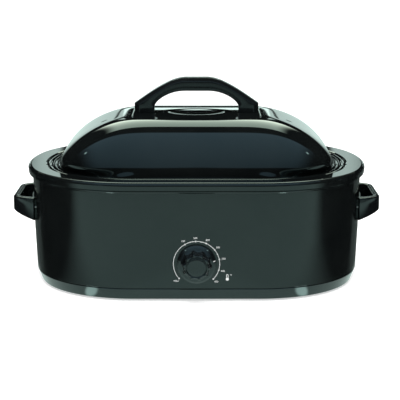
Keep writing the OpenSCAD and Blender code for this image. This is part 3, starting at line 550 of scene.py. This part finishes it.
def lid_handle():
    """The arch: a bevelled section between an outer and an inner curve."""
    o_x, i_x = HANDLE_LENGTH / 2, HANDLE_LENGTH / 2 - HANDLE_FOOT
    high, under = HANDLE_HEIGHT, HANDLE_HEIGHT - HANDLE_THICK
    bevel_foot, bevel_top, bevel_shape, bevel_fade = 8.5, 5.7, 1.32, 22
    steps, flat_steps = 30, 4
    outer = [(o_x, z) for z in (SEAT, 3, 7, 11)]
    inner = [(i_x, z) for z in (SEAT, 2.5, 5, 8)]
    for i in range(steps + 1):
        t = i / steps
        outer.append(bezier((o_x, 15), (o_x * 0.76, 0.56 * high), (o_x * 0.43, high),
                            (o_x * 0.17, high), t))
        inner.append(bezier((i_x, 11), (i_x * 0.97, 0.55 * under), (i_x * 0.67, under),
                            (i_x * 0.28, under), t))
    o_end, i_end = outer[-1][0], inner[-1][0]
    for k in range(1, flat_steps + 1):
        outer.append((mix(o_end, 0, k / flat_steps), high))
        inner.append((mix(i_end, 0, k / flat_steps), under))
    n = len(outer)
    rings = []
    for side, span in ((-1, range(n)), (1, range(n - 2, -1, -1))):
        for k in span:
            o = Vector((side * outer[k][0], outer[k][1]))
            i = Vector((side * inner[k][0], inner[k][1]))
            mid, h, out = (o + i) / 2, (o - i).length / 2, (o - i).normalized()
            drop = mix(bevel_foot, bevel_top, smooth(k / bevel_fade))
            rings.append([(mid.x + out.x * q, p, DECK_Z + mid.y + out.y * q)
                          for p, q in bevelled(HANDLE_DEPTH / 2, h, 3.0, drop * bevel_shape, drop)])
    return skin(rings)


def side_handle(side):
    """A moulded grip on two arms that swell towards the wrap."""
    splay = math.radians(SIDE_SPLAY)
    root = (HALF_L - 16, -SIDE_SPAN / 2)
    aim = (root[0] + 24 * math.cos(splay), root[1] + 24 * math.sin(splay))
    grip = (HALF_L + SIDE_REACH - SIDE_WALL / 2, -SIDE_GRIP / 2)
    turn = (grip[0], grip[1] - 14)
    arm_steps, grip_steps = 26, 5

    def ring(place, along, wall, height):
        size = math.hypot(*along)
        out = (along[1] / size, -along[0] / size)
        return [(side * (place[0] + out[0] * q), place[1] + out[1] * q, SIDE_TOP - height / 2 + p)
                for p, q in rounded(height / 2, wall / 2, 3.0)]

    half = []
    for i in range(arm_steps + 1):
        t = i / arm_steps
        thin = math.sin(PI / 2 * t)
        half.append(ring(bezier(root, aim, turn, grip, t), bezier_slope(root, aim, turn, grip, t),
                         mix(SIDE_ROOT_WALL, SIDE_WALL, thin), mix(SIDE_ROOT_H, SIDE_H, thin)))
    for k in range(1, grip_steps + 1):
        half.append(ring((grip[0], mix(grip[1], 0, k / grip_steps)), (0, 1), SIDE_WALL, SIDE_H))
    other = [[(x, -y, z) for x, y, z in r] for r in reversed(half[:-1])]
    return skin(half + other)


def handle_plate(side):
    """The moulded foot between the two arms, which lies on the wrap."""
    low, top = SIDE_TOP - 35, SIDE_TOP - 3
    rows, cols, thick = 4, 28, 2

    def column(i, proud):
        pts = []
        for j in range(rows + 1):
            z = mix(low, top, j / rows)
            r = END_R - wrap_inset(z) + SEAT
            reach = math.asin(SIDE_SPAN / 2 / r)
            a = mix(-reach, reach, i / cols)
            pts.append((side * (END_X + (r + proud) * math.cos(a)), (r + proud) * math.sin(a), z))
        return pts

    return skin([column(i, thick) + column(i, 0)[::-1] for i in range(cols + 1)])


piece("lid_handle_arch", lid_handle(), HANDLE, "lid", ("lid_handle",), sharp=40)
for side, word in ((1, "right"), (-1, "left")):
    piece("side_grip_" + word, side_handle(side), HANDLE, "body",
          ("side_handle_" + word,), sharp=40)
    piece("side_plate_" + word, handle_plate(side), HANDLE, "body", sharp=30)


# ---------------------------------------------------------------- knob
def knob():
    """A profile turned round the shaft, with ten scoops in its grip."""
    skirt, grip, disc_r, out = KNOB_SKIRT_R, KNOB_GRIP_R, KNOB_DISC_R, KNOB_OUT
    top = grip - 3
    hollow = [(7, 5), (7, out - 7), (top - 4, out - 7), (grip - 3, 9), (skirt - 4, 5)]
    rim = [(skirt - 2.5, 1.6), (skirt - 0.6, 1.6), (skirt - 0.2, 1.75), (skirt, 2.2), (skirt, 4.6),
           (skirt - 0.3, 5.3), (skirt - 1, 6.0), (skirt - 2.4, 6.9), (grip + 3.4, 8.3)]
    wall = [(grip + 1.6, 8.9), (grip + 0.7, 9.4), (grip + 0.2, 10.0), (grip, 10.8),
            (grip - 0.5, 13.5), (grip - 1, 16), (grip - 1.6, 19), (grip - 2.2, 21.3)]
    face = arc(top - 2.6, out - 3.4, 2.6, 8, 90, 7)
    face += [(disc_r + 3.2, out - 0.85), (disc_r + 2.4, out - 1.1), (disc_r + 1.6, out - 1.7),
             (disc_r + 1.1, out - 2), (disc_r + 0.4, out - 2), (disc_r + 0.05, out - 1.8),
             (disc_r, out - 1.2), (disc_r - 0.05, out - 0.5), (disc_r - 0.35, out - 0.12),
             (disc_r - 0.8, out), (disc_r * 0.6, out), (disc_r * 0.25, out)]
    scoops, scoop_depth, scoop_width, steps = 10, 3.0, 0.78, 240
    start = math.radians(KNOB_REST)
    plain_rings = len(hollow + rim)
    rings = []
    for k, (r, z) in enumerate(hollow + rim + wall + face):
        ring = []
        for i in range(steps):
            a = 2 * PI * i / steps
            scooped = r
            if k >= plain_rings and r > disc_r + 3:
                x = abs((a * scoops / (2 * PI) - 0.5) % 1 - 0.5) * 2
                scoop = max(0.0, 1 - (x / scoop_width) ** 2)
                deep = scoop_depth * smooth((z - 9.2) / 2.2) * math.sqrt(scoop)
                scooped = r - deep * smooth((r - disc_r - 2.5) / 3.5)
            ring.append((scooped * math.cos(a + start), -FRONT_FACE - z,
                         KNOB_Z + scooped * math.sin(a + start)))
        rings.append(ring)
    return skin(rings, caps=(False, True))


piece("knob_grip", knob(), KNOB, "knob", ("knob",), sharp=50)


# ---------------------------------------------------------------- printing on the wrap and the knob
PRINT_LIFT, POINTER_LIFT = 0.06, 0.12
SCALE_R, SCALE_LINE, SCALE_START, SCALE_END = 36.8, 0.75, 221.3, -43.2
MARK_150, MARK_STEP = 119.8, 27.17      # degrees: where 150 stands, and from mark to mark
MARK_R, HALF_MARK_R = 1.25, 0.85
LABEL_R, LABEL_SPREAD, LABEL_SIZE = 42.0, 1.6, 4.3
MARKS = [("MIN", SCALE_START)] + [(str(150 + 50 * i), MARK_150 - MARK_STEP * i) for i in range(7)]


def on_wrap(x, z):
    return (x, wrap_inset(z) - HALF_D - PRINT_LIFT, z)


def on_skirt(x, z):
    """On the two slopes of the knob's skirt, whose radii and heights are those of its profile."""
    r = math.hypot(x, z - KNOB_Z)
    height = mix(6.9, 6.0, (r - 29.0) / 1.4) if r > 29 else mix(8.3, 6.9, (r - 27.9) / 1.1)
    return (x, -FRONT_FACE - height - POINTER_LIFT, z)


def on_dial(r, degrees):
    a = math.radians(degrees)
    return r * math.cos(a), KNOB_Z + r * math.sin(a)


def scale_line(steps=150):
    rows = [on_wrap(*on_dial(SCALE_R + edge, mix(SCALE_START, SCALE_END, i / steps)))
            for i in range(steps + 1) for edge in (-SCALE_LINE / 2, SCALE_LINE / 2)]
    return rows, [(2 * i, 2 * i + 1, 2 * i + 3, 2 * i + 2) for i in range(steps)]


def outline(points):
    return [on_wrap(x, z) for x, z in points], [tuple(range(len(points)))]


def dot(x, z, r, steps=20):
    return outline(arc(x, z, r, 0, 360, steps)[:-1])


def letters(text, x, z, size):
    curve = bpy.data.curves.new("letters", "FONT")
    curve.body = text
    curve.size = size
    curve.align_x = curve.align_y = "CENTER"
    curve.resolution_u = 3
    obj = new_object("letters", curve)
    bpy.context.view_layer.update()
    mesh = bpy.data.meshes.new_from_object(obj.evaluated_get(bpy.context.evaluated_depsgraph_get()))
    rows = [on_wrap(x + v.co.x, z + v.co.y) for v in mesh.vertices]
    polys = [tuple(p.vertices) for p in mesh.polygons]
    bpy.data.objects.remove(obj)
    bpy.data.meshes.remove(mesh)
    return rows, polys


def thermometer(x=49.1, z=40.6, outer=1.7, inner=0.9, high=3.6, bulb=2.5):
    tube = arc(x, z + high, outer, 180, 0, 12) + [(x + outer, z - 1.2), (x + inner, z - 1.2)]
    tube += arc(x, z + high, inner, 0, 180, 12) + [(x - inner, z - 1.2), (x - outer, z - 1.2)]
    return join([outline(tube), dot(x, z - 2.9, bulb)])


def label(text, angle):
    r = LABEL_R + LABEL_SPREAD * abs(math.cos(math.radians(angle)))
    return letters(text, *on_dial(r, angle), LABEL_SIZE)


scale = [scale_line()] + [dot(*on_dial(SCALE_R, angle), MARK_R) for _, angle in MARKS]
scale += [dot(*on_dial(SCALE_R, MARK_150 - MARK_STEP * (i + 0.5)), HALF_MARK_R) for i in range(6)]
numbers = [label(text, angle) for text, angle in MARKS]
numbers.append(letters("°F", 54.6, 44.1, 4.0))
for name, shape in (("dial_scale", join(scale)), ("dial_numbers", join(numbers)),
                    ("dial_thermometer", thermometer())):
    piece(name, shape, INK, "body")

a = math.radians(KNOB_REST)
pointer = [on_skirt(r * math.cos(a) - w * math.sin(a), KNOB_Z + r * math.sin(a) + w * math.cos(a))
           for r, w in ((27.2, -0.55), (30.2, -0.55), (30.2, 0.55), (27.2, 0.55))]
piece("knob_pointer", (pointer, [(0, 1, 2, 3)]), INK, "knob")


# ---------------------------------------------------------------- floor, light and camera
STUDIO_WHITE = (0.80, 1.0, 0.94)
CARD_BLUE = (0.64, 0.92, 1.13)
SOFTBOX_GREEN = (0.88, 1.0, 0.84)


class Studio(Tree):
    """A node tree with the few sums that the floor and the world need."""

    def split(self, output):
        sep = self.node("ShaderNodeSeparateXYZ")
        self.link(self.node("ShaderNodeTexCoord").outputs[output], sep.inputs[0])
        return sep.outputs[0], sep.outputs[1], sep.outputs[2]

    def calc(self, op, a, b):
        n = self.node("ShaderNodeMath")
        n.operation = op
        for i, v in enumerate((a, b)):
            if isinstance(v, (int, float)):
                n.inputs[i].default_value = v
            else:
                self.link(v, n.inputs[i])
        return n.outputs[0]

    def chain(self, op, sockets):
        total = sockets[0]
        for s in sockets[1:]:
            total = self.calc(op, total, s)
        return total

    def times(self, *sockets):
        return self.chain("MULTIPLY", sockets)

    def add(self, *sockets):
        return self.chain("ADD", sockets)

    def minus(self, a, b):
        return self.calc("SUBTRACT", a, b)

    def size(self, socket):
        return self.calc("ABSOLUTE", socket, 0.0)

    def degrees(self, a, b):
        """The direction of (b, a) in degrees."""
        return self.times(self.calc("ARCTAN2", a, b), 180 / PI)

    def step(self, socket, low, high):
        """Rises from 0 at low to 1 at high, or falls where low is the larger."""
        rises = low < high
        n = self.node("ShaderNodeMapRange", From_Min=min(low, high), From_Max=max(low, high),
                      To_Min=0.0 if rises else 1.0, To_Max=1.0 if rises else 0.0)
        n.interpolation_type = "SMOOTHSTEP"
        self.link(socket, n.inputs["Value"])
        return n.outputs["Result"]

    def band(self, socket, low, high, soft):
        """1 from low to high, with soft edges."""
        return self.times(self.step(socket, low - soft, low + soft),
                          self.step(socket, high + soft, high - soft))

    def light(self, kind, color, strength):
        """An Emission or Background shader. Its strength is a number or a socket."""
        n = self.node("ShaderNode" + kind, Color=(*color, 1))
        if isinstance(strength, (int, float)):
            n.inputs["Strength"].default_value = strength
        else:
            self.link(strength, n.inputs["Strength"])
        return n.outputs[0]

    def both(self, a, b):
        n = self.node("ShaderNodeAddShader")
        self.link(a, n.inputs[0])
        self.link(b, n.inputs[1])
        return n.outputs[0]

    def choose(self, fac, no, yes):
        n = self.node("ShaderNodeMixShader")
        for i, socket in enumerate((fac, no, yes)):
            self.link(socket, n.inputs[i])
        return n.outputs[0]

    def show(self, camera, glossy, rest, surface):
        """Links to a surface what the camera, gloss and glass, and all other rays see."""
        path = self.node("ShaderNodeLightPath").outputs
        mirrored = self.calc("MAXIMUM", path["Is Glossy Ray"], path["Is Transmission Ray"])
        seen = self.choose(path["Is Camera Ray"], self.choose(mirrored, rest, glossy), camera)
        self.link(seen, surface)


def floor_shown_by_gloss(st):
    """White, with black flags at its sides and far in front, and two bright spots by the base."""
    flag_x, flag_y, flag_power = 0.27, 0.195, 2.9               # an oval under the base, in metres
    spot_at, spot_inner, spot_outer = (0.181, -0.183), 0.00006, 0.00024     # radii squared
    x, y, _ = st.split("Object")
    wide = st.size(x)
    front_edge = st.add(y, st.times(wide, 0.35))
    reach = st.add(st.calc("POWER", st.times(wide, 1 / flag_x), flag_power),
                   st.calc("POWER", st.times(st.size(y), 1 / flag_y), flag_power))
    flags = st.times(st.step(reach, 1.12, 1.42), st.step(front_edge, -0.2, 0.0),
                     st.step(y, 1.05, 0.95), st.step(st.minus(wide, st.times(y, 1.5)), 2.3, 1.8))
    far = st.band(y, -1.9, -1.25, 0.06)
    back = st.times(st.step(y, 0.95, 1.05), st.step(st.calc("DIVIDE", wide, y), 0.2, 0.4))
    lit = st.times(st.minus(1.0, flags), st.minus(1.0, far), st.minus(1.0, back),
                   st.add(0.45, st.times(st.step(y, -2.4, -1.8), 0.55)))
    spot_x, spot_y = st.minus(wide, spot_at[0]), st.minus(y, spot_at[1])
    spot = st.step(st.add(st.times(spot_x, spot_x), st.times(spot_y, spot_y)),
                   spot_outer, spot_inner)
    behind = st.step(st.minus(y, st.times(wide, 1.12)), -0.43, -0.35)
    strength = st.add(st.times(lit, 0.95), st.times(spot, 4.5), st.times(behind, 0.1), 0.01)
    return st.light("Emission", STUDIO_WHITE, strength)


def studio_floor():
    n, r, glow = 48, 9.0, 0.5
    verts = [(0, 0, 0)] + [(x, y, 0) for x, y in arc(0, 0, r, 0, 360, n)[:-1]]
    mesh = bpy.data.meshes.new("studio_floor")
    mesh.from_pydata(verts, [], [(0, i + 1, (i + 1) % n + 1) for i in range(n)])
    obj = new_object("studio_floor", mesh)
    m = bpy.data.materials.new("studio_floor")
    m.use_nodes = True
    mesh.materials.append(m)
    matt = m.node_tree.nodes["Principled BSDF"]
    matt.inputs["Base Color"].default_value = (0.9, 0.9, 0.9, 1)
    matt.inputs["Roughness"].default_value = 0.8
    matt.inputs["Specular IOR Level"].default_value = 0.1
    st = Studio(m.node_tree)
    st.show(st.both(matt.outputs[0], st.light("Emission", (1, 1, 1), glow)),
            floor_shown_by_gloss(st), matt.outputs[0],
            m.node_tree.nodes["Material Output"].inputs["Surface"])


def room_shown_by_gloss(st):
    """A card in front, a softbox over the lid, a white sweep low behind and two narrow strips.

    arch is the height in degrees over the front horizon, through the zenith at 90 to the back
    horizon at 180. turn is the way round from the front, and side the way round from the back."""
    east, north, up = st.split("Generated")
    south = st.times(north, -1.0)
    wide = st.size(east)
    arch, turn = st.degrees(up, south), st.degrees(wide, south)
    side = st.minus(180.0, turn)

    low_edge = st.add(arch, st.times(wide, 40.0))
    card = st.times(st.step(low_edge, 24.8, 27.2), st.step(arch, 91.2, 88.8),
                    st.step(wide, 0.92, 0.4))
    fade = st.add(0.34, st.times(arch, 0.0062))
    softbox = st.times(st.band(arch, 107, 157, 0.8), st.step(wide, 0.34, 0.2))

    # the sweep: a low deck, a band over it that the rim and the lid's ends show, and a dark gap
    deck = st.step(up, 0.1195, 0.1165)
    rim = st.times(st.band(up, 0.146, 0.208, 0.003), st.step(side, 5.2, 5.6),
                   st.step(side, 7.6, 5.9))
    turned = st.step(side, 5.0, 6.4)
    gap_low = st.add(0.052, st.times(turned, 0.042))
    gap_high = st.add(0.094, st.times(turned, 0.008))
    gap = st.times(st.step(st.minus(up, gap_low), -0.002, 0.002), st.step(side, 7.2, 6.8),
                   st.step(st.minus(up, gap_high), 0.002, -0.002), st.step(north, 0.8, 0.9))
    bright = st.times(st.step(side, 5.6, 5.2), st.step(up, 0.09, 0.1))
    sweep = st.times(st.add(deck, rim), st.step(side, 24.0, 11.0), st.minus(1.0, gap),
                     st.add(1.05, st.times(bright, 1.1)))
    strips = st.times(st.band(turn, 64, 70, 1.0), st.band(up, 0.645, 0.705, 0.02))

    room = st.both(st.light("Background", CARD_BLUE, st.times(card, fade)),
                   st.light("Background", SOFTBOX_GREEN, st.times(softbox, 4.4)))
    white = st.add(sweep, st.times(strips, 6.0), 0.004)
    return st.both(room, st.light("Background", STUDIO_WHITE, white))


def studio_world():
    """White to the camera, the room to gloss, and a plain even light to all else."""
    world = bpy.data.worlds.new("studio")
    SCENE.world = world
    world.use_nodes = True
    world.node_tree.nodes.clear()
    st = Studio(world.node_tree)
    st.show(st.light("Background", (1, 1, 1), 1.0), room_shown_by_gloss(st),
            st.light("Background", (1, 1, 1), 0.8),
            st.node("ShaderNodeOutputWorld").inputs["Surface"])


def overhead_lamp():
    """A soft lamp over the front of the lid, which gloss doesn't show."""
    place, target = Vector((0, -0.62, 2.2)), Vector((0, -0.05, 0.2))
    data = bpy.data.lights.new("overhead", "AREA")
    data.shape = "RECTANGLE"
    data.size, data.size_y, data.energy = 2.4, 0.85, 48         # metres, metres, watts
    obj = new_object("overhead", data)
    obj.location = place
    obj.rotation_euler = (target - place).to_track_quat("-Z", "Y").to_euler()
    obj.visible_glossy = False


def photo_camera():
    """The camera as fitted to the photo. Focal length and middle column are in its pixels, the
    distance and height in metres, the pitch in radians."""
    photo_width, focal, middle_column, sensor = 400, 1389.46, 196.5, 36
    distance, height, pitch = 2.34706, 0.59847, 0.199
    data = bpy.data.cameras.new("camera")
    data.sensor_width = sensor
    data.lens = focal / photo_width * sensor
    data.shift_x = (photo_width / 2 - middle_column) / photo_width
    data.clip_end = 60
    cam = new_object("camera", data)
    cam.location = (0, -distance + MIDDLE_Y / 1000, height)
    cam.rotation_euler = (PI / 2 - pitch, 0, 0)
    SCENE.camera = cam


studio_floor()
studio_world()
overhead_lamp()
photo_camera()
SCENE.view_settings.view_transform = "Standard"
